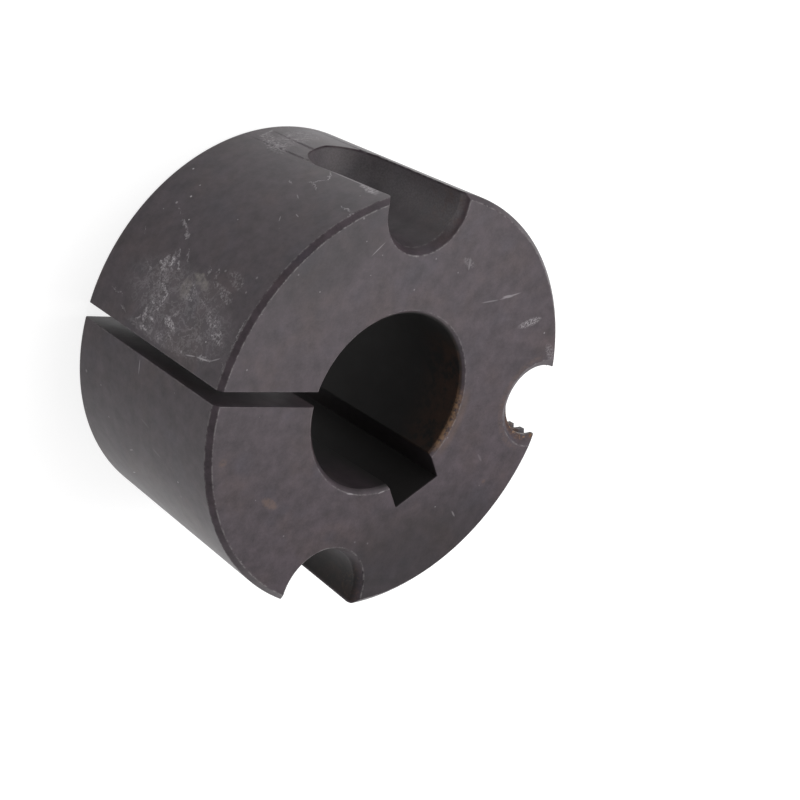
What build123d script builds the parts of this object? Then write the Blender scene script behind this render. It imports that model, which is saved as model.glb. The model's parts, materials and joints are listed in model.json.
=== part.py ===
"""Split taper bush: it clamps a hub on a shaft when it is drawn into the hub's tapered bore.

Frame: +Z runs up the bore, from the small end at Z = 0 to the large end at Z = LENGTH.
+X points at the tapped half-hole for the removal screw, and the slit is on the -X side.
All lengths are in millimetres and all angles in degrees, counted from +X about +Z.
"""
from build123d import *
from math import cos, radians, sin, tan
import os

# ---- driving dimensions ----

# taper body
LENGTH = 25.4
LARGE_END_DIAMETER = 47.6
TAPER_HALF_ANGLE = 4.0
LARGE_RIM_CHAMFER = 0.6
SMALL_RIM_CHAMFER = 0.2

# bore and its keyway
BORE_DIAMETER = 20.0
BORE_CHAMFER = 0.5
KEYWAY_WIDTH = 6.0
KEYWAY_DEPTH = 2.8
KEYWAY_ANGLE = -53.5

# saw cut that lets the bush close on the shaft, a little to the +Y side of the bore's axis
SLIT_WIDTH = 1.6
SLIT_OFFSET = 0.45

# half-holes in the rim of the large end, all on one pitch circle
PITCH_CIRCLE_DIAMETER = 44.45

# plain blind half-holes, which take the ends of the closing screws; their drill has rounded corners
CLOSING_HOLE_DIAMETER = 10.0
CLOSING_HOLE_DEPTH = 15.0
CLOSING_DRILL_POINT_ANGLE = 118.0
CLOSING_DRILL_CORNER_RADIUS = 2.0
CLOSING_COUNTERSINK_DIAMETER = 11.2
CLOSING_COUNTERSINK_ANGLE = 60.0
CLOSING_HOLE_ANGLES = (95.0, -95.0)

# half-hole for the removal screw: right through, at its tapping size
REMOVAL_HOLE_DIAMETER = 8.0
REMOVAL_COUNTERSINK_DIAMETER = 10.2
REMOVAL_COUNTERSINK_ANGLE = 120.0
REMOVAL_HOLE_ANGLE = 0.0

# how far a cutter stands past the face that it cuts
OVERCUT = 1.0


def taper_radius(height):
    """Radius of the tapered surface at a height above the small end."""
    return LARGE_END_DIAMETER / 2 - (LENGTH - height) * tan(radians(TAPER_HALF_ANGLE))


def turned_blank():
    """The body as it leaves the lathe: taper, both rims and the chamfered bore."""
    bore_radius = BORE_DIAMETER / 2
    section = Polyline(
        (bore_radius + BORE_CHAMFER, 0),
        (taper_radius(0) - SMALL_RIM_CHAMFER, 0),
        (taper_radius(SMALL_RIM_CHAMFER), SMALL_RIM_CHAMFER),
        (taper_radius(LENGTH - LARGE_RIM_CHAMFER), LENGTH - LARGE_RIM_CHAMFER),
        (taper_radius(LENGTH) - LARGE_RIM_CHAMFER, LENGTH),
        (bore_radius + BORE_CHAMFER, LENGTH),
        (bore_radius, LENGTH - BORE_CHAMFER),
        (bore_radius, BORE_CHAMFER),
        close=True,
    )
    return revolve(Plane.XZ * make_face(section), Axis.Z)


def countersunk_mouth(diameter, countersink_diameter, countersink_angle):
    """Outer edge of a hole's cutter from above the face down to where the countersink meets the wall."""
    radius = diameter / 2
    countersink_radius = countersink_diameter / 2
    flare = tan(radians(countersink_angle / 2))
    return [
        (countersink_radius + OVERCUT * flare, OVERCUT),
        (radius, -(countersink_radius - radius) / flare),
    ]


def closing_drill():
    """Drill and countersink of a closing hole as one cutter, entering a face at Z = 0 and going down."""
    radius = CLOSING_HOLE_DIAMETER / 2
    point_length = radius / tan(radians(CLOSING_DRILL_POINT_ANGLE / 2))
    section = make_face(Polyline(
        (0, OVERCUT),
        *countersunk_mouth(CLOSING_HOLE_DIAMETER, CLOSING_COUNTERSINK_DIAMETER, CLOSING_COUNTERSINK_ANGLE),
        (radius, -CLOSING_HOLE_DEPTH),
        (0, -CLOSING_HOLE_DEPTH - point_length),
        close=True,
    ))
    corner = section.vertices().sort_by_distance((radius, -CLOSING_HOLE_DEPTH))[0]
    return revolve(Plane.XZ * fillet(corner, CLOSING_DRILL_CORNER_RADIUS), Axis.Z)


def removal_drill():
    """Drill and countersink of the removal hole as one cutter, from above a face at Z = 0 right through."""
    section = make_face(Polyline(
        (0, OVERCUT),
        *countersunk_mouth(REMOVAL_HOLE_DIAMETER, REMOVAL_COUNTERSINK_DIAMETER, REMOVAL_COUNTERSINK_ANGLE),
        (REMOVAL_HOLE_DIAMETER / 2, -LENGTH - OVERCUT),
        (0, -LENGTH - OVERCUT),
        close=True,
    ))
    return revolve(Plane.XZ * section, Axis.Z)


def rim_place(angle):
    """Where a half-hole's axis meets the large end."""
    radius = PITCH_CIRCLE_DIAMETER / 2
    return Pos(radius * cos(radians(angle)), radius * sin(radians(angle)), LENGTH)


def keyway():
    """Broached slot from the bore's axis out to the keyway's floor, through both ends."""
    floor_radius = BORE_DIAMETER / 2 + KEYWAY_DEPTH
    slot_height = LENGTH + 2 * OVERCUT
    slot = Box(floor_radius, KEYWAY_WIDTH, slot_height, align=(Align.MIN, Align.CENTER, Align.CENTER))
    return Rot(Z=KEYWAY_ANGLE) * Pos(Z=LENGTH / 2) * slot


def slit():
    """Saw cut from inside the bore to the outside, through both ends."""
    reach = LARGE_END_DIAMETER / 2 + OVERCUT
    cut_height = LENGTH + 2 * OVERCUT
    cut = Box(reach, SLIT_WIDTH, cut_height, align=(Align.MAX, Align.CENTER, Align.CENTER))
    return Pos(0, SLIT_OFFSET, LENGTH / 2) * cut


def taper_bush():
    """The whole bush: the turned blank with its half-holes, keyway and slit cut."""
    bush = turned_blank()
    for angle in CLOSING_HOLE_ANGLES:
        bush -= rim_place(angle) * closing_drill()
    bush -= rim_place(REMOVAL_HOLE_ANGLE) * removal_drill()
    bush -= keyway()
    bush -= slit()
    return bush


os.makedirs("parts", exist_ok=True)
export_step(taper_bush(), "parts/taper_bush.step")
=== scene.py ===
"""Split taper bush in blackened iron: its detailed body, its finish, the floor, the lights and the camera.

Lengths are in metres, except in the finish, where places and widths are in millimetres. The frame is that of
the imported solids: +Z runs up the bore from the small end to the large end, +X points at the tapped half-hole,
and the slit is on the -X side.
"""
import json
import logging
import math
from collections.abc import Iterable, Sequence
from dataclasses import dataclass

import bpy
from mathutils import Matrix, Vector

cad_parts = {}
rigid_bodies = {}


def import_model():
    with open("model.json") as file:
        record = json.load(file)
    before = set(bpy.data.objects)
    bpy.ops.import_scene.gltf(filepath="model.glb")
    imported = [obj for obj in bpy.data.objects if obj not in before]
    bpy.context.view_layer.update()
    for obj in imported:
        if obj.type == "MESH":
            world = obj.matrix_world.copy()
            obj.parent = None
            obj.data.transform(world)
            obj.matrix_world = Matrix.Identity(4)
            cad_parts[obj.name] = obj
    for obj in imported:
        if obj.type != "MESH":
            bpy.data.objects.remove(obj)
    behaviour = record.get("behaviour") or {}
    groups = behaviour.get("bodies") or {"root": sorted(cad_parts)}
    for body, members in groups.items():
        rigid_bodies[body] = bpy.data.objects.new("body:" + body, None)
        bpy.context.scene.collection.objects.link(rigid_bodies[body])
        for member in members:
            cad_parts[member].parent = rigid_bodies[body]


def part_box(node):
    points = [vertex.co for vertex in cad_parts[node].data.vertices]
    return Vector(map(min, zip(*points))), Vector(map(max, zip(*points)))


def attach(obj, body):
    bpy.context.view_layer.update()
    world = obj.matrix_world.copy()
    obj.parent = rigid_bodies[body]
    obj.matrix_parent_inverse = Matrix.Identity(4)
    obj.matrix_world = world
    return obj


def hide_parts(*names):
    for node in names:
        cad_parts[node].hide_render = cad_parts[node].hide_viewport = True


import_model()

logging.basicConfig(level=logging.INFO, format="%(message)s")
LOG = logging.getLogger("taper_bush")

BODY = "root"
NODE = "taper_bush"
SLOT = "blackened_iron"
MM = 0.001
POINT_RADIUS = 1e-9  # stands for zero, until close_up merges the ring into a point
GIRTH_PER_DEGREE = math.radians(23.0)  # millimetres round the middle of the taper in one degree


# ---- bench tools ----


def deselect_all() -> None:
    """Leave edit mode and select nothing."""
    if bpy.context.object is not None and bpy.context.object.mode != "OBJECT":
        bpy.ops.object.mode_set(mode="OBJECT")
    bpy.ops.object.select_all(action="DESELECT")


def take(piece: bpy.types.Object) -> None:
    """Make a piece the only one selected, and the active one.

    Args:
        piece: The object to work on.
    """
    deselect_all()
    piece.select_set(True)
    bpy.context.view_layer.objects.active = piece


def close_up(piece: bpy.types.Object, merge: float = 1e-7) -> None:
    """Merge doubled vertices and turn all faces outwards.

    Args:
        piece: The object to close.
        merge: Vertices nearer than this become one.
    """
    take(piece)
    bpy.ops.object.mode_set(mode="EDIT")
    bpy.ops.mesh.select_all(action="SELECT")
    bpy.ops.mesh.remove_doubles(threshold=merge)
    bpy.ops.mesh.normals_make_consistent(inside=False)
    bpy.ops.object.mode_set(mode="OBJECT")


def cut_away(piece: bpy.types.Object, cutter: bpy.types.Object, solver: str = "MANIFOLD") -> None:
    """Cut one solid out of another and throw the cutter away.

    Args:
        piece: The solid that stays.
        cutter: The solid that is cut out of it.
        solver: Blender's solver for the cut.
    """
    take(piece)
    cut = piece.modifiers.new("cut", "BOOLEAN")
    cut.operation = "DIFFERENCE"
    cut.solver = solver
    cut.object = cutter
    bpy.ops.object.modifier_apply(modifier=cut.name)
    bpy.data.objects.remove(cutter)


@dataclass(frozen=True)
class Station:
    """One ring of a turned shape.

    Attributes:
        radius: Radius of the ring.
        height: Height of the ring along the turning axis.
    """

    radius: float
    height: float


def turn_solid(name: str, stations: Sequence[Station], facets: int) -> bpy.types.Object:
    """Turn a closed solid from its rings, each extruded from the ring before it.

    Args:
        name: Name of the new object.
        stations: Rings from one end to the other. The last may have radius zero, which makes a point.
        facets: Number of facets round the solid.

    Returns:
        The solid, with its axis on Z.
    """
    deselect_all()
    first = stations[0]
    bpy.ops.mesh.primitive_circle_add(
        vertices=facets, radius=first.radius, fill_type="NGON", location=(0, 0, first.height)
    )
    solid = bpy.context.object
    solid.name = name
    bpy.ops.object.transform_apply(location=True, rotation=False, scale=False)
    bpy.ops.object.mode_set(mode="EDIT")
    bpy.ops.mesh.select_all(action="SELECT")
    for before, after in zip(stations, stations[1:]):
        rise = after.height - before.height
        shrink = max(after.radius, POINT_RADIUS) / before.radius
        bpy.ops.mesh.extrude_region_move(TRANSFORM_OT_translate={"value": (0, 0, rise)})
        bpy.ops.transform.resize(value=(shrink, shrink, 1), center_override=(0, 0, after.height))
    close_up(solid)
    return solid


def about_z(degrees: float) -> Matrix:
    """Turn about the bore's axis."""
    return Matrix.Rotation(math.radians(degrees), 4, "Z")


def outward(azimuth: float, elevation: float) -> Vector:
    """Direction out from the bush.

    Args:
        azimuth: Degrees from +X about +Z.
        elevation: Degrees over the horizon.

    Returns:
        The direction, of length 1.
    """
    around, above = math.radians(azimuth), math.radians(elevation)
    flat = math.cos(above)
    return Vector((flat * math.cos(around), flat * math.sin(around), math.sin(above)))


def move_into_place(piece: bpy.types.Object, place: Matrix) -> None:
    """Move a piece and put its new place into its mesh.

    Args:
        piece: The object to move.
        place: Where it goes.
    """
    take(piece)
    piece.matrix_world = place @ piece.matrix_world
    bpy.ops.object.transform_apply(location=True, rotation=True, scale=True)


# ---- the body ----


@dataclass(frozen=True)
class HalfHole:
    """A half-hole in the rim of the large end.

    Attributes:
        angle: Where it lies round the axis, in degrees from +X.
        radius: Radius of its wall.
        mouth_radius: Radius of its countersink at the face.
        depth: Depth of its wall below the face.
        countersink_angle: Angle across its countersink, in degrees.
        corner_radius: Round between the wall and the drill's point.
        corner_steps: Number of steps in that round.
        point_angle: Angle across the drill's point, in degrees.
        overcut: How far the cutter goes past the face.
        facets: Number of facets round the cutter.
    """

    angle: float
    radius: float
    mouth_radius: float
    depth: float
    countersink_angle: float = 60.0
    corner_radius: float = 2.0 * MM
    corner_steps: int = 7
    point_angle: float = 118.0
    overcut: float = 1.0 * MM
    facets: int = 72

    def corner(self) -> list[Station]:
        """Rings of the round between the wall and the drill's point."""
        turn = math.radians(self.point_angle / 2)
        middle_radius = self.radius - self.corner_radius
        middle_height = self.corner_radius * math.tan(turn / 2) - self.depth
        rings = []
        for step in range(self.corner_steps + 1):
            angle = turn * step / self.corner_steps
            away, down = self.corner_radius * math.cos(angle), self.corner_radius * math.sin(angle)
            rings.append(Station(middle_radius + away, middle_height - down))
        return rings

    def cutter(self, pitch_radius: float, face_height: float) -> bpy.types.Object:
        """Model the drill with its countersink.

        Args:
            pitch_radius: Distance of the hole's axis from the bore's axis.
            face_height: Height of the face that the drill enters.

        Returns:
            The cutter, in its place.
        """
        flare = math.tan(math.radians(self.countersink_angle / 2))
        point = self.radius / math.tan(math.radians(self.point_angle / 2))
        drill = turn_solid(
            "drill",
            (
                Station(self.mouth_radius + self.overcut * flare, self.overcut),
                Station(self.radius, -(self.mouth_radius - self.radius) / flare),
                *self.corner(),
                Station(0, -self.depth - point),
            ),
            self.facets,
        )
        move_into_place(drill, about_z(self.angle) @ Matrix.Translation((pitch_radius, 0, face_height)))
        return drill


@dataclass(frozen=True)
class Thread:
    """The screw thread of the removal half-hole: its grooves, as one coil to cut away.

    Attributes:
        pitch: Rise of the thread in one turn.
        crest_radius: Radius inside the crests that the bush keeps.
        root_radius: Radius at the bottom of the grooves.
        crest_share: Part of the pitch that each flat crest takes.
        root_share: Part of the pitch that each flat root takes.
        widest_share: Half of the most that a groove may take of the pitch, so that turns never touch.
        steps: Number of steps in one turn.
        overlap: How far the coil reaches inside the crests.
        spare_turns: Turns added to those that the hole needs, half of them below it.
        start: Where the coil starts round its axis, in degrees.
    """

    pitch: float = 25.4 * MM / 16
    crest_radius: float = 4.0 * MM
    root_radius: float = 4.76 * MM
    crest_share: float = 0.24
    root_share: float = 0.12
    widest_share: float = 0.485
    steps: int = 64
    overlap: float = 0.5 * MM
    spare_turns: int = 3
    start: float = 100.0

    def coil(self, length: float) -> bpy.types.Object:
        """Model the grooves as a coil that runs past both ends of the hole.

        Args:
            length: Length of the hole.

        Returns:
            The coil, with its axis on Z and its lower end below Z = 0.
        """
        mouth_half = self.pitch * (1 - self.crest_share) / 2
        root_half = self.pitch * self.root_share / 2
        slope = (mouth_half - root_half) / (self.root_radius - self.crest_radius)
        inner_radius = self.crest_radius - self.overlap
        inner_half = min(mouth_half + slope * self.overlap, self.widest_share * self.pitch)
        deselect_all()
        middle = (inner_radius + self.root_radius) / 2
        bpy.ops.mesh.primitive_plane_add(size=1, location=(middle, 0, 0), rotation=(math.pi / 2, 0, 0))
        coil = bpy.context.object
        coil.name = "thread_coil"
        bpy.ops.object.transform_apply(location=True, rotation=True, scale=True)
        for corner in coil.data.vertices:
            outside = corner.co.x > middle
            half = root_half if outside else inner_half
            corner.co = (self.root_radius if outside else inner_radius, 0, math.copysign(half, corner.co.z))
        turns = math.ceil(length / self.pitch) + self.spare_turns
        take(coil)
        screw = coil.modifiers.new("turns", "SCREW")
        screw.axis = "Z"
        screw.angle = math.tau
        screw.screw_offset = self.pitch
        screw.iterations = turns
        screw.steps = self.steps
        screw.render_steps = self.steps
        screw.use_merge_vertices = True
        bpy.ops.object.modifier_apply(modifier=screw.name)
        below = self.spare_turns / 2 * self.pitch
        move_into_place(coil, Matrix.Translation((0, 0, -below)) @ about_z(self.start))
        close_up(coil)
        return coil


@dataclass
class TaperBush:
    """The bush itself, turned, drilled, broached, sawn and tapped from one piece of iron.

    Attributes:
        length: Height between the two faces, from the frame.
        large_radius: Radius of the taper where it would meet the large face.
        taper_half_angle: Slope of the taper, in degrees from the axis.
        large_chamfer: Height and width of the chamfer round the large face.
        small_chamfer: Height and width of the chamfer round the small face.
        bore_radius: Radius of the bore.
        bore_chamfer: Height and width of the chamfers at the bore's ends.
        keyway_width: Width of the keyway.
        keyway_depth: Depth of the keyway below the bore's wall.
        keyway_angle: Where the keyway lies, in degrees from +X.
        slit_width: Width of the saw cut.
        slit_offset: Distance of the saw cut's middle from the axis.
        pitch_radius: Distance of the half-holes' axes from the bore's axis.
        edge_round: Width of the round on every sharp edge.
        edge_segments: Number of steps across that round.
        sharp_angle: Edges that turn by more than this are rounded, in degrees.
        overcut: How far cutters go past what they cut.
        facets: Number of facets round the taper and the bore.
        facet_turn: Turn of the facets, so that their edges miss the holes' and the slit's, in degrees.
        sliver: Edges shorter than this are merged before the rounding.
        flatness: Faces that differ by less than this are joined before the rounding, in degrees.
        smooth_angle: Faces that differ by less than this are shaded as one surface, in degrees.
        closing_holes: The two plain half-holes.
        removal_hole: The half-hole that is tapped.
        thread: The removal hole's thread.
    """

    length: float
    large_radius: float = 23.8 * MM
    taper_half_angle: float = 4.0
    large_chamfer: float = 0.6 * MM
    small_chamfer: float = 0.2 * MM
    bore_radius: float = 10.0 * MM
    bore_chamfer: float = 0.5 * MM
    keyway_width: float = 6.0 * MM
    keyway_depth: float = 2.8 * MM
    keyway_angle: float = -53.5
    slit_width: float = 1.6 * MM
    slit_offset: float = 0.45 * MM
    pitch_radius: float = 22.225 * MM
    edge_round: float = 0.08 * MM
    edge_segments: int = 2
    sharp_angle: float = 20.0
    overcut: float = 1.0 * MM
    facets: int = 180
    facet_turn: float = 0.4
    sliver: float = 0.12 * MM
    flatness: float = 0.3
    smooth_angle: float = 13.0
    closing_holes: tuple[HalfHole, ...] = (
        HalfHole(95.0, 5.0 * MM, 5.6 * MM, 15.8 * MM, corner_radius=4.0 * MM, point_angle=140.0),
        HalfHole(-95.0, 5.0 * MM, 5.6 * MM, 15.8 * MM, corner_radius=4.0 * MM, point_angle=140.0),
    )
    removal_hole: HalfHole = HalfHole(
        angle=0.0, radius=4.0 * MM, mouth_radius=5.1 * MM, depth=30.0 * MM, countersink_angle=120.0
    )
    thread: Thread = Thread()

    @property
    def holes(self) -> tuple[HalfHole, ...]:
        """The three half-holes, with the removal hole last."""
        return (*self.closing_holes, self.removal_hole)

    def taper_radius(self, height: float) -> float:
        """Radius of the tapered surface at a height above the small end."""
        return self.large_radius - (self.length - height) * math.tan(math.radians(self.taper_half_angle))

    def turned_blank(self) -> bpy.types.Object:
        """Turn the tapered body with its bore and chamfers.

        Returns:
            The blank, before any hole is drilled.
        """
        rim, foot, rise = self.large_chamfer, self.small_chamfer, self.bore_chamfer
        top = self.length
        blank = turn_solid(
            NODE + "_body",
            (
                Station(self.taper_radius(0) - foot, 0),
                Station(self.taper_radius(foot), foot),
                Station(self.taper_radius(top - rim), top - rim),
                Station(self.taper_radius(top) - rim, top),
            ),
            self.facets,
        )
        bore = turn_solid(
            "bore",
            (
                Station(self.bore_radius + rise + self.overcut, -self.overcut),
                Station(self.bore_radius, rise),
                Station(self.bore_radius, top - rise),
                Station(self.bore_radius + rise + self.overcut, top + self.overcut),
            ),
            self.facets,
        )
        cut_away(blank, bore)
        move_into_place(blank, about_z(self.facet_turn))
        return blank

    def keyway_cutter(self) -> bpy.types.Object:
        """Model the broach for the keyway, from the bore's axis to the keyway's floor."""
        reach = self.bore_radius + self.keyway_depth
        deselect_all()
        bpy.ops.mesh.primitive_cube_add(
            size=1,
            location=(reach / 2, 0, self.length / 2),
            scale=(reach, self.keyway_width, self.length + 2 * self.overcut),
        )
        broach = bpy.context.object
        move_into_place(broach, about_z(self.keyway_angle))
        return broach

    def slit_cutter(self) -> bpy.types.Object:
        """Model the saw cut, from inside the bore to the outside."""
        reach = self.large_radius + self.overcut
        deselect_all()
        bpy.ops.mesh.primitive_cube_add(
            size=1,
            location=(-reach / 2, self.slit_offset, self.length / 2),
            scale=(reach, self.slit_width, self.length + 2 * self.overcut),
        )
        saw = bpy.context.object
        move_into_place(saw, Matrix.Identity(4))
        return saw

    def round_edges(self, body: bpy.types.Object) -> None:
        """Break every sharp edge with a small round.

        Args:
            body: The bush before its thread is cut.
        """
        take(body)
        bpy.ops.object.mode_set(mode="EDIT")
        bpy.ops.mesh.select_all(action="SELECT")
        bpy.ops.mesh.remove_doubles(threshold=self.sliver)
        bpy.ops.mesh.dissolve_limited(angle_limit=math.radians(self.flatness))
        bpy.ops.object.mode_set(mode="OBJECT")
        bevel = body.modifiers.new("broken_edges", "BEVEL")
        bevel.limit_method = "ANGLE"
        bevel.angle_limit = math.radians(self.sharp_angle)
        bevel.width = self.edge_round
        bevel.segments = self.edge_segments
        bevel.use_clamp_overlap = False
        bevel.miter_outer = "MITER_SHARP"
        bpy.ops.object.modifier_apply(modifier=bevel.name)
        for vertex in body.data.vertices:
            vertex.co.z = min(max(vertex.co.z, 0.0), self.length)

    def model(self) -> bpy.types.Object:
        """Model the whole bush.

        Returns:
            The finished body.
        """
        body = self.turned_blank()
        for hole in self.holes:
            cut_away(body, hole.cutter(self.pitch_radius, self.length))
        cut_away(body, self.keyway_cutter())
        cut_away(body, self.slit_cutter())
        self.round_edges(body)
        coil = self.thread.coil(self.length)
        out = Matrix.Translation((self.pitch_radius, 0, 0))
        move_into_place(coil, about_z(self.removal_hole.angle) @ out)
        cut_away(body, coil, solver="EXACT")
        close_up(body, merge=1e-6)
        take(body)
        bpy.ops.object.shade_smooth_by_angle(angle=math.radians(self.smooth_angle))
        weighted = body.modifiers.new("face_normals", "WEIGHTED_NORMAL")
        weighted.keep_sharp = True
        bpy.ops.object.modifier_apply(modifier=weighted.name)
        return body


# ---- shader bench ----

Colour = tuple[float, float, float]
Socket = bpy.types.NodeSocket


class NodeBench:
    """Adds nodes to one material."""

    def __init__(self, material: bpy.types.Material) -> None:
        """Start from an empty node tree.

        Args:
            material: The material to fill.
        """
        material.use_nodes = True
        self.tree = material.node_tree
        self.tree.nodes.clear()

    def add(self, kind: str, settings: dict | None = None, inputs: dict | None = None) -> bpy.types.Node:
        """Add any node.

        Args:
            kind: The node's type.
            settings: Properties, set before its sockets.
            inputs: Values, colours, channels or sockets by socket name or number.

        Returns:
            The new node.
        """
        node = self.tree.nodes.new(kind)
        for name, value in (settings or {}).items():
            setattr(node, name, value)
        for name, value in (inputs or {}).items():
            socket = node.inputs[name]
            if isinstance(value, Channel):
                self.tree.links.new(value.socket, socket)
            elif isinstance(value, Socket):
                self.tree.links.new(value, socket)
            elif socket.type == "RGBA":
                socket.default_value = (*value, 1.0)
            else:
                socket.default_value = value
        return node

    def blend(self, factor: "Channel | float", under: Colour | Socket, over: Colour | Socket) -> Socket:
        """Lay one colour over another.

        Args:
            factor: How much of the upper colour shows.
            under: The lower colour.
            over: The upper colour.

        Returns:
            The mixed colour.
        """
        mix = self.add("ShaderNodeMix", {"data_type": "RGBA"}, {0: factor, 6: under, 7: over})
        return mix.outputs[2]

    def scaled(self, vector: Socket, factors: Colour) -> Socket:
        """Multiply a vector by three factors."""
        node = self.add("ShaderNodeVectorMath", {"operation": "MULTIPLY"}, {0: vector, 1: factors})
        return node.outputs[0]

    def vector(self, x: "Channel | float", y: "Channel | float", z: "Channel | float" = 0.0) -> Socket:
        """Combine three channels into a vector."""
        return self.add("ShaderNodeCombineXYZ", None, {0: x, 1: y, 2: z}).outputs[0]

    def noise(
        self,
        place: Socket,
        scale: float,
        detail: float = 2.0,
        roughness: float = 0.5,
        distortion: float = 0.0,
    ) -> "Channel":
        """Add a noise pattern from 0 to 1, with about 0.5 in the middle."""
        inputs = {"Vector": place, "Scale": scale, "Detail": detail}
        inputs |= {"Roughness": roughness, "Distortion": distortion}
        return Channel(self, self.add("ShaderNodeTexNoise", None, inputs).outputs[0])

    def shaken(self, surface: Socket, place: Socket, scale: float, amount: float) -> Socket:
        """Shift a surface's two coordinates from point to point, so that marks on it get ragged edges.

        Args:
            surface: The two coordinates, with 1 in the third.
            place: Where the shifts vary.
            scale: How fast they vary.
            amount: How far a mark's edge can wander, at most.

        Returns:
            The shifted coordinates.
        """
        pattern = self.add("ShaderNodeTexNoise", None, {"Vector": place, "Scale": scale, "Detail": 2.0})
        spread = {0: pattern.outputs["Color"], 1: (2 * amount, 2 * amount, 0.0), 2: (-amount, -amount, 0.0)}
        shift = self.add("ShaderNodeVectorMath", {"operation": "MULTIPLY_ADD"}, spread)
        moved = self.add("ShaderNodeVectorMath", {"operation": "ADD"}, {0: surface, 1: shift.outputs[0]})
        return moved.outputs[0]

    def cells(self, place: Socket, scale: float) -> "Channel":
        """Add a pattern of cells, as the distance from each cell's own point."""
        pattern = self.add("ShaderNodeTexVoronoi", None, {"Vector": place, "Scale": scale})
        return Channel(self, pattern.outputs["Distance"])


class Channel:
    """A number that varies over a surface. Arithmetic on it adds Math nodes."""

    def __init__(self, bench: NodeBench, socket: Socket) -> None:
        """Wrap a value socket.

        Args:
            bench: Where new nodes go.
            socket: The socket that holds the number.
        """
        self.bench = bench
        self.socket = socket

    def _math(self, operation: str, *terms: "Channel | float") -> "Channel":
        """Add one Math node on the given terms."""
        inputs = dict(enumerate(terms))
        node = self.bench.add("ShaderNodeMath", {"operation": operation}, inputs)
        return Channel(self.bench, node.outputs[0])

    def __add__(self, other: "Channel | float") -> "Channel":
        """Sum."""
        return self._math("ADD", self, other)

    __radd__ = __add__

    def __sub__(self, other: "Channel | float") -> "Channel":
        """Difference."""
        return self._math("SUBTRACT", self, other)

    def __rsub__(self, other: float) -> "Channel":
        """Difference from a number."""
        return self._math("SUBTRACT", other, self)

    def __mul__(self, other: "Channel | float") -> "Channel":
        """Product."""
        return self._math("MULTIPLY", self, other)

    __rmul__ = __mul__

    def __abs__(self) -> "Channel":
        """Size without sign."""
        return self._math("ABSOLUTE", self)

    def __or__(self, other: "Channel | float") -> "Channel":
        """The larger of two masks: where either is."""
        return self._math("MAXIMUM", self, other)

    def times_plus(self, factor: "Channel", term: "Channel") -> "Channel":
        """Product with a factor, and a term added."""
        return self._math("MULTIPLY_ADD", self, factor, term)

    def root(self) -> "Channel":
        """Square root."""
        return self._math("SQRT", self)

    def turn_to(self, x: "Channel") -> "Channel":
        """Angle of the point (x, self), in degrees."""
        return self._math("ARCTAN2", self, x) * math.degrees(1)

    def rise(self, start: float, end: float, peak: float = 1.0) -> "Channel":
        """Go smoothly from 0 at start to the peak at end. Start may lie above end."""
        settings = {"interpolation_type": "SMOOTHSTEP"}
        low, high = (0.0, peak) if start < end else (peak, 0.0)
        inputs = {0: self, 1: min(start, end), 2: max(start, end), 3: low, 4: high}
        return Channel(self.bench, self.bench.add("ShaderNodeMapRange", settings, inputs).outputs[0])


@dataclass(frozen=True)
class Mark:
    """A soft-edged mark from one point of a surface to another: a spot, a patch or a scratch.

    Attributes:
        start: One end, in millimetres along the surface's two axes.
        end: The other end.
        width: Its full width, in millimetres.
        strength: How much of it shows, from 0 to 1.
    """

    start: tuple[float, float]
    end: tuple[float, float]
    width: float
    strength: float = 1.0

    def mask(self, bench: NodeBench, place: Socket) -> Channel:
        """Strength of the mark at every point.

        Args:
            bench: Where new nodes go.
            place: The surface's two coordinates, with 1 in the third.

        Returns:
            The mark's mask.
        """
        run = (self.end[0] - self.start[0], self.end[1] - self.start[1])
        middle = (self.start[0] + run[0] / 2, self.start[1] + run[1] / 2)
        if run == (0, 0):
            away = bench.add("ShaderNodeVectorMath", {"operation": "DISTANCE"}, {0: place, 1: (*middle, 1.0)})
            return Channel(bench, away.outputs["Value"]).rise(self.width / 2, self.width / 8, self.strength)
        lean = math.atan2(run[1], run[0])
        cosine, sine = math.cos(lean), math.sin(lean)
        along = self._axis(bench, place, middle, (cosine, sine), (math.hypot(*run) + self.width) / 2)
        across = self._axis(bench, place, middle, (-sine, cosine), self.width / 2)
        return along.times_plus(along, across * across).rise(1.0, 0.2, self.strength)

    @staticmethod
    def _axis(
        bench: NodeBench, place: Socket, middle: tuple[float, float], line: tuple[float, float], reach: float
    ) -> Channel:
        """Distance from the middle along one axis of the mark, where 1 is the mark's end."""
        start = line[0] * middle[0] + line[1] * middle[1]
        slopes = (line[0] / reach, line[1] / reach, -start / reach)
        node = bench.add("ShaderNodeVectorMath", {"operation": "DOT_PRODUCT"}, {0: place, 1: slopes})
        return Channel(bench, node.outputs["Value"])


def spot(across: float, along: float, width: float, strength: float = 1.0) -> Mark:
    """A round mark, from its middle."""
    return Mark((across, along), (across, along), width, strength)


def any_of(masks: Iterable[Channel]) -> Channel:
    """Join masks: where any of them is."""
    joined = None
    for mask in masks:
        joined = mask if joined is None else joined | mask
    return joined


# ---- the finish ----


def girth(angle: float) -> float:
    """Distance round the taper, in millimetres, of an angle in degrees from +X."""
    return angle * GIRTH_PER_DEGREE


def stroke(start: tuple[float, float], end: tuple[float, float], width: float, strength: float) -> Mark:
    """A mark on the taper, between two points given by angle in degrees and height in millimetres."""
    return Mark((girth(start[0]), start[1]), (girth(end[0]), end[1]), width, strength)


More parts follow.
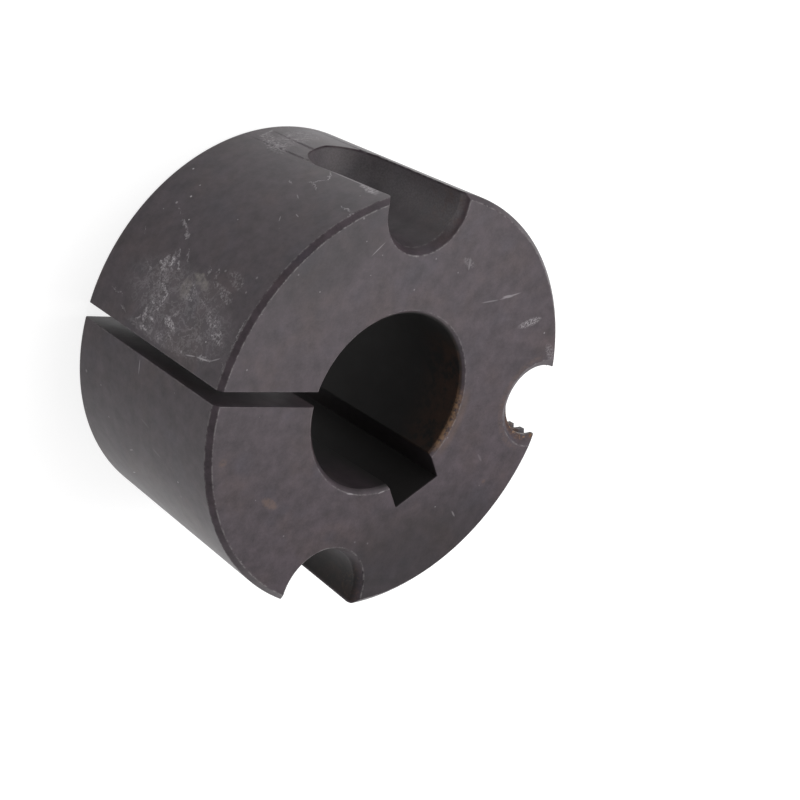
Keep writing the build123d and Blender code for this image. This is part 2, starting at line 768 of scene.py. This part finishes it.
@dataclass(frozen=True)
class Tones:
    """Colours of the iron and of what is on it.

    Attributes:
        iron: The blackened iron.
        iron_warm: Its redder clouds.
        iron_cool: Its bluer clouds.
        recess_shade: Painted shade inside the bore, the keyway, the slit and the holes.
        chalk: Dust, scuffs and scratches.
        clay: Dried clay-coloured stains.
        worn_edge: Bare metal along the edges.
        rust_dark: Old rust.
        rust_bright: Fresh rust.
    """

    iron: Colour = (0.0375, 0.0280, 0.0335)
    iron_warm: Colour = (0.0410, 0.0292, 0.0322)
    iron_cool: Colour = (0.0350, 0.0276, 0.0345)
    # painted shade for the bore, the keyway, the slit and the closing holes
    recess_shade: Colour = (0.0050, 0.0040, 0.0038)
    chalk: Colour = (0.32, 0.300, 0.312)
    clay: Colour = (0.165, 0.148, 0.133)
    worn_edge: Colour = (0.17, 0.158, 0.160)
    rust_dark: Colour = (0.036, 0.0145, 0.0070)
    rust_bright: Colour = (0.22, 0.125, 0.062)


@dataclass(frozen=True)
class IronFinish:
    """Blackened iron with chalky scuffs on the taper, worn edges and rust in the bore and the holes.

    Marks on the taper are placed by girth and height, and marks on the large face by X and Y, in millimetres.

    Attributes:
        wisps: Chalky strokes of the scuffed side.
        clouds: Fine chalk dust.
        haze: Where faint veins of chalk run.
        clay_spots: Dried clay-coloured stains.
        taper_specks: Small bright nicks and ticks on the taper.
        face_marks: Scratches and specks on the large face.
        face_dust: Dusty patches on the large face.
        face_rust: Faint rust spots on the large face.
        face_painted_shade: Painted shade: places of the large face that are darker, as if less light fell on
            them.
        hole_shade: How much painted shade darkens the walls of the two closing holes, from 0 to 1.
        roughness: Least roughness of the clean finish.
        cloudy_roughness: Roughness that the clouds add.
        grainy_roughness: Roughness that the grain adds.
        dull_roughness: Roughness that chalk, rust and the painted shade of the recesses add.
        ior: Index of refraction of the oiled finish.
        relief_strength: Strength of the fine relief.
        relief_depth: Depth of the fine relief.
    """

    tones: Tones = Tones()
    wisps: tuple[Mark, ...] = (
        stroke((171.3, 22.6), (172.5, 20.0), 0.40, 0.60),
        stroke((172.5, 24.8), (170.1, 24.2), 0.18, 0.35),
        stroke((160.1, 18.2), (159.5, 16.0), 0.28, 0.50),
        stroke((159.5, 16.0), (157.2, 14.5), 0.36, 0.60),
        stroke((166.1, 18.3), (168.5, 17.0), 0.24, 0.40),
        stroke((169.8, 15.0), (168.5, 13.3), 1.10, 0.95),
        stroke((172.4, 15.4), (171.4, 14.3), 0.55, 0.55),
        stroke((167.2, 14.2), (165.1, 14.8), 0.50, 0.60),
        stroke((172.8, 13.5), (174.5, 12.9), 0.40, 0.50),
        stroke((160.8, 15.6), (161.2, 14.3), 0.90, 0.45),
        stroke((169.3, 10.9), (166.1, 11.6), 0.50, 0.75),
        stroke((166.1, 11.6), (162.6, 11.7), 0.55, 0.85),
        stroke((162.6, 11.6), (161.6, 10.2), 0.60, 0.90),
        stroke((166.0, 11.2), (165.8, 11.0), 0.50, 1.00),
        stroke((166.7, 10.4), (166.4, 10.0), 0.60, 0.80),
        stroke((171.1, 11.6), (170.3, 10.4), 0.45, 1.00),
        stroke((172.1, 9.9), (169.0, 9.5), 0.85, 0.70),
        stroke((171.9, 9.3), (173.2, 8.7), 0.40, 0.60),
        stroke((174.3, 10.9), (174.2, 9.8), 0.50, 0.85),
        stroke((173.8, 11.8), (172.1, 11.0), 0.45, 0.40),
        stroke((156.6, 11.6), (154.2, 10.6), 0.34, 0.75),
        stroke((156.4, 9.9), (153.8, 9.7), 0.60, 1.00),
        stroke((158.4, 9.1), (154.5, 8.7), 0.90, 0.70),
        stroke((157.0, 8.5), (156.7, 8.1), 0.40, 0.70),
        stroke((160.3, 10.6), (159.1, 9.9), 0.45, 0.45),
        stroke((153.1, 10.3), (151.1, 9.4), 0.28, 0.80),
        stroke((153.5, 12.1), (150.0, 10.8), 0.34, 0.35),
        stroke((147.7, 9.6), (146.1, 8.7), 0.55, 0.50),
        stroke((145.5, 8.6), (143.9, 7.0), 0.50, 0.60),
        stroke((143.2, 6.8), (141.3, 4.7), 0.14, 0.30),
        stroke((159.5, 7.6), (159.3, 6.9), 0.40, 0.50),
        stroke((159.3, 6.8), (157.9, 6.0), 0.28, 0.50),
        stroke((163.0, 8.5), (163.3, 7.0), 0.40, 0.30),
        stroke((173.2, 6.8), (172.1, 5.3), 0.26, 0.40),
        stroke((169.6, 5.3), (169.5, 2.6), 0.28, 0.30),
        stroke((152.4, 3.3), (150.5, 2.8), 0.24, 0.35),
        stroke((167.7, 24.6), (156.1, 24.7), 0.26, 0.40),
        stroke((170.5, 16.8), (167.6, 18.4), 0.22, 0.50),
        stroke((161.0, 17.6), (158.0, 13.2), 0.20, 0.45),
        stroke((116.6, 15.4), (112.2, 16.8), 0.24, 0.70),
        stroke((112.2, 16.8), (107.8, 15.2), 0.24, 0.80),
        stroke((117.8, 17.7), (115.0, 15.6), 0.24, 0.60),
        stroke((119.2, 14.1), (118.1, 13.4), 0.26, 0.45),
        stroke((119.2, 24.3), (119.0, 22.5), 0.36, 0.60),
        stroke((121.5, 25.0), (119.5, 24.8), 0.40, 0.45),
        stroke((109.0, 23.2), (107.8, 20.2), 1.10, 0.75),
        stroke((109.5, 5.5), (103.5, 6.6), 0.35, 0.55),
        stroke((104.5, 4.2), (95.0, 5.4), 0.45, 0.60),
        stroke((99.0, 2.6), (90.0, 3.6), 0.40, 0.55),
        stroke((107.0, 2.2), (99.5, 1.2), 0.50, 0.60),
    )
    clouds: tuple[Mark, ...] = (
        stroke((166.6, 22.9), (161.6, 19.1), 1.80, 0.75),
        stroke((169.3, 19.1), (166.7, 19.6), 0.80, 0.40),
        stroke((156.1, 20.8), (155.0, 18.8), 1.50, 0.40),
        stroke((151.8, 21.0), (150.3, 18.8), 1.70, 0.28),
        stroke((154.5, 18.5), (154.5, 17.3), 0.90, 0.35),
        stroke((153.1, 17.0), (150.8, 16.8), 0.70, 0.45),
        stroke((152.9, 15.8), (151.6, 15.4), 0.60, 0.45),
        stroke((107.9, 22.9), (107.0, 20.0), 1.30, 0.85),
        stroke((172.0, 10.6), (153.0, 9.6), 2.60, 0.45),
        stroke((108.6, 7.0), (104.4, 2.0), 2.80, 0.62),
        stroke((104.4, 5.3), (85.4, 2.8), 4.80, 0.50),
    )
    haze: tuple[Mark, ...] = (
        stroke((166.0, 21.0), (163.0, 8.0), 10.0, 0.42),
        stroke((174.0, 19.0), (174.0, 7.0), 1.6, 0.55),
    )
    clay_spots: tuple[Mark, ...] = (
        stroke((156.3, 16.4), (155.0, 14.2), 1.8, 0.60),
        stroke((160.3, 14.2), (158.2, 13.6), 2.0, 0.45),
        stroke((223.0, 18.0), (219.0, 11.0), 9.0, 0.10),
    )
    taper_specks: tuple[Mark, ...] = (
        stroke((169.5, 23.8), (171.8, 22.3), 0.17, 0.45),
        stroke((171.8, 22.3), (172.7, 20.0), 0.22, 0.75),
        stroke((172.7, 20.0), (173.9, 18.2), 0.18, 0.60),
        stroke((107.6, 23.3), (107.7, 12.9), 0.22, 0.60),
        stroke((211.8, 9.2), (210.6, 10.0), 0.20, 0.50),
        spot(girth(214.2), 18.9, 0.30, 0.40),
        spot(girth(227.7), 22.5, 0.30, 0.50),
        stroke((205.3, 16.2), (204.3, 14.6), 0.34, 0.10),
        stroke((198.6, 14.2), (197.6, 12.6), 0.34, 0.08),
        spot(girth(168.1), 20.6, 0.26),
        spot(girth(173.8), 17.5, 0.50, 0.55),
        spot(girth(143.2), 7.8, 0.26),
        spot(girth(140.6), 4.3, 0.45, 0.55),
        spot(girth(137.1), 5.3, 0.36),
        spot(girth(132.9), 4.9, 0.30, 0.60),
        spot(girth(129.2), 1.8, 0.34),
        spot(girth(147.9), 22.3, 0.40, 0.30),
        spot(girth(152.4), 22.3, 0.36, 0.30),
        spot(girth(150.3), 17.7, 0.40, 0.30),
        spot(girth(209.2), 19.05, 0.30, 0.90),
        spot(girth(205.2), 5.8, 0.30, 0.45),
        spot(girth(195.7), 1.6, 0.50, 0.35),
        stroke((222.4, 7.6), (221.0, 8.5), 0.16, 0.90),
        stroke((186.2, 11.5), (181.9, 11.2), 0.16, 0.45),
        stroke((128.1, 20.0), (127.6, 19.3), 0.16, 0.40),
        stroke((131.8, 18.5), (130.2, 18.0), 0.16, 0.35),
        stroke((122.9, 17.3), (121.8, 16.5), 0.16, 0.35),
    )
    face_marks: tuple[Mark, ...] = (
        Mark((-8.2, 16.3), (-6.7, 18.0), 0.17, 0.70),
        Mark((9.3, 11.5), (11.8, 11.9), 0.20, 0.45),
        Mark((11.8, 11.9), (14.8, 12.8), 0.24, 0.60),
        Mark((12.3, 12.2), (13.7, 12.4), 0.40, 0.70),
        Mark((5.9, 16.5), (6.1, 15.2), 0.36, 0.45),
        Mark((13.7, -12.7), (14.3, -13.3), 0.24, 0.50),
        Mark((-2.5, -10.3), (-1.5, -10.4), 0.22, 0.90),
        Mark((2.0, -10.4), (2.9, -10.1), 0.18, 0.70),
        Mark((15.2, -6.0), (16.0, -6.8), 0.30, 0.20),
        spot(5.2, 16.4, 0.30, 0.40),
        spot(20.0, 8.2, 0.30, 0.90),
        spot(-0.9, 12.8, 0.30, 0.60),
        spot(1.0, 16.3, 0.30, 0.55),
        spot(-1.9, 16.5, 0.34, 0.50),
        spot(-20.9, 3.7, 0.30, 0.80),
        spot(0.6, -16.0, 0.30, 0.35),
        spot(2.5, -16.2, 0.30, 0.35),
        spot(-9.8, -15.0, 0.26, 0.50),
        spot(-17.4, 14.1, 0.30, 0.50),
        spot(-10.6, 20.4, 0.34, 0.70),
    )
    face_dust: tuple[Mark, ...] = (
        Mark((16.1, 8.9), (18.6, 9.8), 1.1, 0.80),
        Mark((21.2, 6.6), (22.2, 5.4), 1.3, 0.40),
        Mark((5.2, 16.3), (6.5, 15.7), 1.0, 0.30),
    )
    face_rust: tuple[Mark, ...] = (
        Mark((-13.8, -10.9), (-12.2, -11.6), 1.3, 0.50),
        spot(-20.8, -6.6, 1.4, 0.40),
        spot(17.2, -9.2, 0.8, 0.35),
    )
    # Painted shade: darker places of the large face, most on its -Y side, standing in for less light falling
    # there.
    face_painted_shade: tuple[Mark, ...] = (
        Mark((1.0, -26.0), (20.0, -20.0), 28.0, 0.50),
        Mark((-18.0, 14.0), (-10.0, 20.0), 12.0, 0.30),
    )
    # painted shade on the walls of the two closing holes, far stronger in the hole at -95 degrees
    hole_shade: tuple[float, float] = (0.26, 0.90)
    roughness: float = 0.33
    cloudy_roughness: float = 0.08
    grainy_roughness: float = 0.07
    dull_roughness: float = 0.30
    ior: float = 1.34
    relief_strength: float = 0.25
    relief_depth: float = 0.03 * MM

    def paint(self, bush: TaperBush) -> bpy.types.Material:
        """Build the finish for a bush.

        Args:
            bush: Gives the places of the edges and holes.

        Returns:
            The material.
        """
        material = bpy.data.materials.new(SLOT)
        bench = NodeBench(material)
        tones = self.tones
        object_place = bench.add("ShaderNodeTexCoord").outputs["Object"]
        place = bench.scaled(object_place, (1 / MM, 1 / MM, 1 / MM))
        ground = Ground(bench, bush, place)

        grain = bench.noise(place, scale=5.0, detail=2.0, roughness=0.6)
        colour = ground.iron(self, grain)
        colour = bench.blend(ground.clay(self), colour, tones.clay)
        pale = ground.pale_marks(self, grain)
        colour = bench.blend(pale, colour, tones.chalk)
        colour = bench.blend(ground.worn_edges(), colour, tones.worn_edge)
        # painted shade: the bore, the keyway, the slit and the closing holes are darkened
        inside = ground.inside(self)
        colour = bench.blend(inside, colour, tones.recess_shade)
        rust, bloom = ground.rust(self, grain)
        colour = bench.blend(rust, colour, tones.rust_dark)
        colour = bench.blend(bloom, colour, tones.rust_bright)

        roughness = self.roughness + self.cloudy_roughness * bench.noise(place, scale=0.5)
        roughness = roughness + self.grainy_roughness * grain + self.dull_roughness * (pale | rust | inside)
        relief = 0.6 * grain + 0.6 * bench.noise(place, scale=1.4) + ground.saw_marks()
        bump = bench.add(
            "ShaderNodeBump",
            None,
            {"Strength": self.relief_strength, "Distance": self.relief_depth, "Height": relief},
        )
        shader = bench.add(
            "ShaderNodeBsdfPrincipled",
            None,
            {"Base Color": colour, "Roughness": roughness, "IOR": self.ior, "Normal": bump.outputs[0]},
        )
        bench.add("ShaderNodeOutputMaterial", None, {"Surface": shader.outputs[0]})
        return material


class Ground:
    """Where each point of the bush lies: its distances to faces, holes and edges, in millimetres."""

    def __init__(self, bench: NodeBench, bush: TaperBush, place: Socket) -> None:
        """Work out the distances that the masks share.

        Args:
            bench: Where new nodes go.
            bush: Gives the sizes.
            place: The point, in millimetres.
        """
        self.bench = bench
        self.bush = bush
        self.place = place
        axes = bench.add("ShaderNodeSeparateXYZ", None, {0: place})
        self.x, self.y, self.z = (Channel(bench, axis) for axis in axes.outputs)
        self.length = bush.length / MM
        self.radius = (self.x * self.x + self.y * self.y).root()
        self.angle = (self.y * -1.0).turn_to(self.x * -1.0) + 180.0
        slope = math.tan(math.radians(bush.taper_half_angle))
        self.taper_gap = abs(self.radius - (bush.large_radius / MM - (self.length - self.z) * slope))
        self.top_gap = abs(self.z - self.length)
        self.slit_gap = abs(self.y - bush.slit_offset / MM) - bush.slit_width / MM / 2
        self.hole_distances = [self._hole_distance(hole) for hole in bush.holes]
        self.top_hole, self.removal_hole = self.hole_distances[0], self.hole_distances[-1]
        self.on_face = self.top_gap.rise(0.12, 0.04)
        self.on_taper = self.taper_gap.rise(0.10, 0.04)
        self.off_taper = self.taper_gap.rise(0.10, 0.35)
        self.face_place = bench.vector(self.x, self.y, 1.0)
        self.taper_place = bench.vector(self.angle * GIRTH_PER_DEGREE, self.z, 1.0)

    def _hole_distance(self, hole: HalfHole) -> Channel:
        """Distance from a half-hole's axis."""
        angle = math.radians(hole.angle)
        pitch = self.bush.pitch_radius / MM
        dx, dy = self.x - pitch * math.cos(angle), self.y - pitch * math.sin(angle)
        return (dx * dx + dy * dy).root()

    def _near(self, first: Channel, second: Channel, width: float, strength: float) -> Channel:
        """Mask of an edge: the places where two distances are both small.

        Args:
            first: One distance.
            second: The other distance.
            width: How far the mask reaches.
            strength: Its value on the edge itself.

        Returns:
            The mask.
        """
        return (first * first + second * second).root().rise(width, 0.0, strength)

    def _marks(self, marks: Iterable[Mark], place: Socket) -> Channel:
        """Join the masks of marks on one surface."""
        return any_of(mark.mask(self.bench, place) for mark in marks)

    def _noise(self, **pattern: float) -> Channel:
        """Noise on the bush's own coordinates, with the settings that NodeBench.noise takes."""
        return self.bench.noise(self.place, **pattern)

    def iron(self, finish: IronFinish, grain: Channel) -> Socket:
        """Colour of the bare finish, with its cloudy tints, painted shade on the large face and its fine grain.
        """
        bench, tones = self.bench, finish.tones
        warm = self._noise(scale=0.16, detail=3.0, roughness=0.6).rise(0.45, 0.70)
        cool = self._noise(scale=0.23).rise(0.52, 0.75)
        colour = bench.blend(cool, bench.blend(warm, tones.iron, tones.iron_warm), tones.iron_cool)
        # painted shade: darker places of the large face
        face_shade = self._marks(finish.face_painted_shade, self.face_place) * self.on_face
        mottling = 1.85 * self._noise(scale=0.6, detail=5.0, roughness=0.70) + 0.32 * grain
        value = (mottling - 0.08) * (1.0 - face_shade)
        shade = bench.add("ShaderNodeVectorMath", {"operation": "SCALE"}, {0: colour, "Scale": value})
        return shade.outputs[0]

    def pale_marks(self, finish: IronFinish, grain: Channel) -> Channel:
        """Chalky wisps and dust, scratches and specks, and a paler wall in the top hole."""
        bench = self.bench
        wandering = bench.shaken(self.taper_place, self.place, scale=2.2, amount=0.50)
        crumbs = grain.rise(0.40, 0.62)
        powder = self._noise(scale=3.2, detail=3.0, roughness=0.75).rise(0.43, 0.66)
        veins = abs(self._noise(scale=0.9, detail=5.0, roughness=0.65, distortion=0.5) - 0.5).rise(0.05, 0.0)
        wisps = self._marks(finish.wisps, wandering) * (0.20 + 0.80 * crumbs)
        dust = self._marks(finish.clouds, wandering) * powder
        haze = self._marks(finish.haze, wandering) * (0.30 + 0.70 * veins) * 0.55
        specks = self._marks(finish.taper_specks, self.taper_place)
        taper = (wisps | dust | haze | specks) * self.on_taper

        lines = self._marks(finish.face_marks, self.face_place) * 0.5
        patches = self._marks(finish.face_dust, self.face_place) * crumbs * 0.6
        face = (lines | patches) * self.on_face
        scattered = bench.cells(self.place, scale=0.55).rise(0.065, 0.025, 0.4)
        scattered = scattered * self._noise(scale=0.7).rise(0.50, 0.60)
        wall = self.bush.closing_holes[0].radius / MM
        ends = self.z.rise(13.0, 10.0, 0.9) | self.x.rise(1.4, 3.4)
        # the wall of the top hole is made paler near its bottom and along its +X edge
        pale_wall = self.top_hole.rise(wall + 0.5, wall + 0.05, 0.32) * self.off_taper * ends
        return taper | face | scattered | pale_wall * (0.75 + 0.25 * crumbs)

    def clay(self, finish: IronFinish) -> Channel:
        """Dried clay-coloured stains on the taper."""
        wandering = self.bench.shaken(self.taper_place, self.place, scale=0.9, amount=0.9)
        patchy = self._noise(scale=1.3, detail=4.0, roughness=0.65).rise(0.30, 0.62)
        return self._marks(finish.clay_spots, wandering) * self.on_taper * patchy

    def worn_edges(self) -> Channel:
        """Bright thin lines where handling has worn the edges."""
        bush = self.bush
        top = self.length
        rim = bush.large_chamfer / MM
        face_radius = bush.large_radius / MM - rim
        shoulder_radius = bush.taper_radius(bush.length - bush.large_chamfer) / MM
        foot_radius = bush.taper_radius(0) / MM
        mouth_radius = (bush.bore_radius + bush.bore_chamfer) / MM
        edges = [
            self._near(self.radius - face_radius, self.z - top, 0.15, 0.6),
            self._near(self.radius - shoulder_radius, self.z - (top - rim), 0.16, 0.5),
            self._near(self.radius - foot_radius, self.z - bush.small_chamfer / MM, 0.30, 0.35),
            self._near(self.radius - mouth_radius, self.top_gap, 0.15, 0.4),
        ]
        for hole, distance in zip(bush.holes, self.hole_distances):
            mouth, wall = hole.mouth_radius / MM, hole.radius / MM
            neck = top - (mouth - wall) / math.tan(math.radians(hole.countersink_angle / 2))
            bottom = top - hole.depth / MM
            edges.append(self._near(distance - mouth, self.top_gap, 0.18, 0.5))
            edges.append(self._near(distance - wall, self.z - neck, 0.20, 0.45))
            side = self._near(distance - wall, self.taper_gap, 0.26, 0.6)
            edges.append(side * self.z.rise(bottom - 1.0, bottom + 1.0))
        slit_side = abs(self.slit_gap)
        slit_edges = self._near(slit_side, self.taper_gap, 0.20, 0.35)
        slit_edges = slit_edges | self._near(slit_side, self.top_gap, 0.15, 0.3)
        edges.append(slit_edges * self.x.rise(0.0, -1.0))
        return any_of(edges) * self._noise(scale=1.6, detail=4.0, roughness=0.7).rise(0.40, 0.62)

    def keyed(self) -> tuple[Channel, Channel]:
        """Distances along and across the keyway, from the bore's axis."""
        angle = math.radians(self.bush.keyway_angle)
        along = self.x * math.cos(angle) + self.y * math.sin(angle)
        across = self.y * math.cos(angle) - self.x * math.sin(angle)
        return along, across

    def inside(self, finish: IronFinish) -> Channel:
        """Mask of the painted shade in the bore, the keyway, the slit and the closing holes, fainter on the
        bore's -Y wall near the face, where light falls in.
        """
        bush = self.bush
        top = self.length
        wall = bush.bore_radius / MM
        keyway_floor = wall + bush.keyway_depth / MM
        bore = self.radius.rise(wall + 0.35, wall + 0.1)
        along, across = self.keyed()
        half = bush.keyway_width / MM / 2
        keyway = abs(across).rise(half + 0.05, half - 0.02) * along.rise(wall - 2.0, wall - 1.0)
        keyway = keyway * self.radius.rise(keyway_floor + 0.6, keyway_floor + 0.4)
        slit = self.slit_gap.rise(0.02, -0.03) * self.x.rise(2.0 - wall, 1.0 - wall)
        recesses = bore | keyway | slit
        # painted shade on the walls of the closing holes
        for hole, distance, hole_shade in zip(bush.closing_holes, self.hole_distances, finish.hole_shade):
            edge = hole.radius / MM
            recesses = recesses | distance.rise(edge + 0.5, edge + 0.05, hole_shade) * self.off_taper
        # painted light: the shade is lifted on the bore's -Y wall near the face, where light falls in
        lit_wall = self.y.rise(-3.0, -8.5, 0.55) * self.x.rise(3.5, 1.0) * self.z.rise(top - 13.0, top - 3.0)
        return recesses * self.top_gap.rise(0.02, 0.25) * (0.96 - lit_wall)

    def rust(self, finish: IronFinish, grain: Channel) -> tuple[Channel, Channel]:
        """Dark and bright rust: in the bore, in and round the holes, along the foot and in spots on the face.

        Args:
            finish: Gives the spots on the face.
            grain: The fine grain.

        Returns:
            The masks of the dark rust and of the bright rust.
        """
        bush = self.bush
        top = self.length
        wall = bush.bore_radius / MM
        cloud = self._noise(scale=0.6, detail=4.0, roughness=0.65)
        fine = self._noise(scale=2.2, detail=3.0, roughness=0.7)

        bore = self.radius.rise(wall + 0.3, wall + 0.05)
        rusty_side = self.x.rise(6.2, 9.4) * self.z.rise(top - 7.5, top - 1.5)
        dark = bore * rusty_side * cloud.rise(0.34, 0.58) * 0.7
        arc = self.x.rise(7.6, 9.4) * self.y.rise(2.4, 0.0) * self.y.rise(-7.0, -4.6)
        ring = self._near(self.radius - wall - 0.25, self.z - top + 0.25, 0.65, 0.50) * arc
        bright = ring * fine.rise(0.34, 0.60) | dark * fine.rise(0.52, 0.72) * 0.04
        halo = self._near(self.radius - (wall + 1.0), self.top_gap, 0.9, 0.10) * arc

        for hole, distance in zip(bush.holes, self.hole_distances):
            tapped = hole is bush.removal_hole
            edge = hole.radius / MM
            side = self.y.rise(0.4, -1.6) if tapped else self.x.rise(1.0, 3.2)
            patch = distance.rise(edge + 0.9, edge + 0.1) * self.off_taper * side
            patch = patch * self.z.rise(top - 9.0, top - 1.0) * self.top_gap.rise(0.02, 0.3)
            dark = dark | patch * cloud.rise(0.42, 0.60) * (0.9 if tapped else 0.25)
            bright = bright | patch * fine.rise(0.50, 0.72) * (0.85 if tapped else 0.10)

        lip = self.removal_hole - (bush.removal_hole.mouth_radius / MM + 0.4)
        stain = self._near(lip, self.top_gap, 0.6, 0.16) * self.x.rise(21.5, 19.5) * fine.rise(0.35, 0.6)
        spots = self._marks(finish.face_rust, self.face_place) * self.on_face * fine.rise(0.30, 0.55)
        foot = self.z.rise(0.5, 0.1, 0.35) * self.on_taper
        foot = foot * self.angle.rise(205.0, 220.0) * cloud.rise(0.35, 0.55)
        return dark, bright | spots * 0.32 | halo | stain * 0.6 | foot * grain

    def saw_marks(self) -> Channel:
        """Relief of the lines that the saw left on the walls of the slit."""
        lines = self.bench.scaled(self.place, (0.15, 1.0, 4.0))
        return self.bench.noise(lines, scale=1.0, roughness=0.6) * self.slit_gap.rise(0.05, 0.0, 2.0)


# ---- the stage ----


@dataclass(frozen=True)
class StudioCamera:
    """The camera, aimed at a point near the middle of the large face.

    Attributes:
        target: Point that the middle of the picture shows.
        azimuth: Direction of the camera from the target, in degrees from +X about +Z.
        elevation: Height of the camera over the horizon, in degrees.
        roll: Turn of +Z in the picture, in degrees clockwise from upright.
        distance: Distance from the target.
        lens: Focal length, in millimetres.
        sensor_width: Width of the sensor, in millimetres.
        clip_start: Nearest thing that the camera sees.
    """

    target: tuple[float, float, float] = (0.34 * MM, 0.83 * MM, 26.48 * MM)
    azimuth: float = 157.70
    elevation: float = 42.65
    roll: float = 121.07
    distance: float = 403.2 * MM
    lens: float = 172.63
    sensor_width: float = 36.0
    clip_start: float = 10.0 * MM

    def place(self) -> bpy.types.Object:
        """Add the camera and make it the scene's own."""
        away = outward(self.azimuth, self.elevation)
        level_right = Vector((0, 0, 1)).cross(away).normalized()
        upright = Matrix((level_right, away.cross(level_right), away)).transposed().to_4x4()
        lens = bpy.data.cameras.new("camera")
        lens.lens = self.lens
        lens.sensor_width = self.sensor_width
        lens.clip_start = self.clip_start
        camera = bpy.data.objects.new("camera", lens)
        middle = Vector(self.target)
        camera.matrix_world = Matrix.Translation(middle + away * self.distance) @ upright @ about_z(self.roll)
        bpy.context.scene.collection.objects.link(camera)
        bpy.context.scene.camera = camera
        return camera


@dataclass(frozen=True)
class Softbox:
    """A square soft light that faces the bush.

    Attributes:
        name: Name of the light.
        azimuth: Direction from the bush, in degrees from +X about +Z.
        elevation: Height over the horizon, in degrees.
        distance: Distance from the point that it faces.
        size: Side of the light.
        radiance: Brightness of its face, where 1 is the white of the picture.
        aim_height: Height of the point that it faces, on the bush's axis.
    """

    name: str
    azimuth: float
    elevation: float
    distance: float
    size: float
    radiance: float
    aim_height: float = 20.0 * MM

    def place(self) -> bpy.types.Object:
        """Add the light, unseen by the camera."""
        away = outward(self.azimuth, self.elevation)
        lamp = bpy.data.lights.new(self.name, "AREA")
        lamp.shape = "SQUARE"
        lamp.size = self.size
        lamp.energy = self.radiance * math.pi * self.size**2
        light = bpy.data.objects.new(self.name, lamp)
        light.location = away * self.distance + Vector((0, 0, self.aim_height))
        light.rotation_euler = away.to_track_quat("Z", "Y").to_euler()
        light.visible_camera = False
        bpy.context.scene.collection.objects.link(light)
        return light


@dataclass
class Studio:
    """The pale floor, which glows a little, the soft lights and the pale surroundings.

    Attributes:
        floor_radius: Radius of the floor.
        floor_facets: Number of facets round it.
        floor_tone: Its colour.
        floor_roughness: Its roughness.
        floor_gloss: Its specular level.
        floor_glow: Light that it gives off itself, where 1 is the white of the picture.
        surround: Colour of the surroundings.
        lights: The soft lights.
    """

    floor_radius: float = 4.0
    floor_facets: int = 96
    floor_tone: tuple[float, float, float] = (0.32, 0.32, 0.32)
    floor_roughness: float = 0.8
    floor_gloss: float = 0.2
    floor_glow: float = 0.80
    surround: tuple[float, float, float] = (0.5, 0.5, 0.5)
    lights: tuple[Softbox, ...] = (
        Softbox("top_softbox", azimuth=20.0, elevation=70.0, distance=0.14, size=0.14, radiance=3.7),
        Softbox("low_softbox", azimuth=300.0, elevation=14.0, distance=0.35, size=0.30, radiance=1.3),
        Softbox("side_softbox", azimuth=60.0, elevation=30.0, distance=0.35, size=0.30, radiance=1.0),
    )

    def floor(self) -> bpy.types.Object:
        """Add the floor that the bush stands on."""
        deselect_all()
        bpy.ops.mesh.primitive_circle_add(
            vertices=self.floor_facets, radius=self.floor_radius, fill_type="NGON"
        )
        floor = bpy.context.object
        floor.name = "floor"
        paint = bpy.data.materials.new("pale_floor")
        paint.use_nodes = True
        shader = paint.node_tree.nodes["Principled BSDF"]
        shader.inputs["Base Color"].default_value = (*self.floor_tone, 1)
        shader.inputs["Roughness"].default_value = self.floor_roughness
        shader.inputs["Specular IOR Level"].default_value = self.floor_gloss
        shader.inputs["Emission Color"].default_value = (1.0, 1.0, 1.0, 1.0)
        shader.inputs["Emission Strength"].default_value = self.floor_glow
        floor.data.materials.append(paint)
        return floor

    def build(self) -> None:
        """Add the floor, the lights and the surroundings."""
        self.floor()
        for light in self.lights:
            light.place()
        world = bpy.data.worlds.new("surround")
        world.use_nodes = True
        world.node_tree.nodes["Background"].inputs["Color"].default_value = (*self.surround, 1)
        bpy.context.scene.world = world
        bpy.context.scene.view_settings.view_transform = "Standard"


def dress(piece: bpy.types.Object, finish: bpy.types.Material) -> None:
    """Give every face of a piece one finish. The cuts leave an empty slot behind, which goes first.

    Args:
        piece: The object to dress.
        finish: Its material.
    """
    piece.data.materials.clear()
    piece.data.materials.append(finish)
    piece.data.polygons.foreach_set("material_index", [0] * len(piece.data.polygons))


def main() -> None:
    """Build the bush and set the stage."""
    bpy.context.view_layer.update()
    low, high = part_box(NODE)
    bush = TaperBush(length=high.z - low.z)
    body = bush.model()
    dress(body, IronFinish().paint(bush))
    LOG.info("body: %d faces", len(body.data.polygons))
    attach(body, BODY)
    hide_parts(NODE)
    Studio().build()
    StudioCamera().place()


if __name__ == "__main__":
    main()
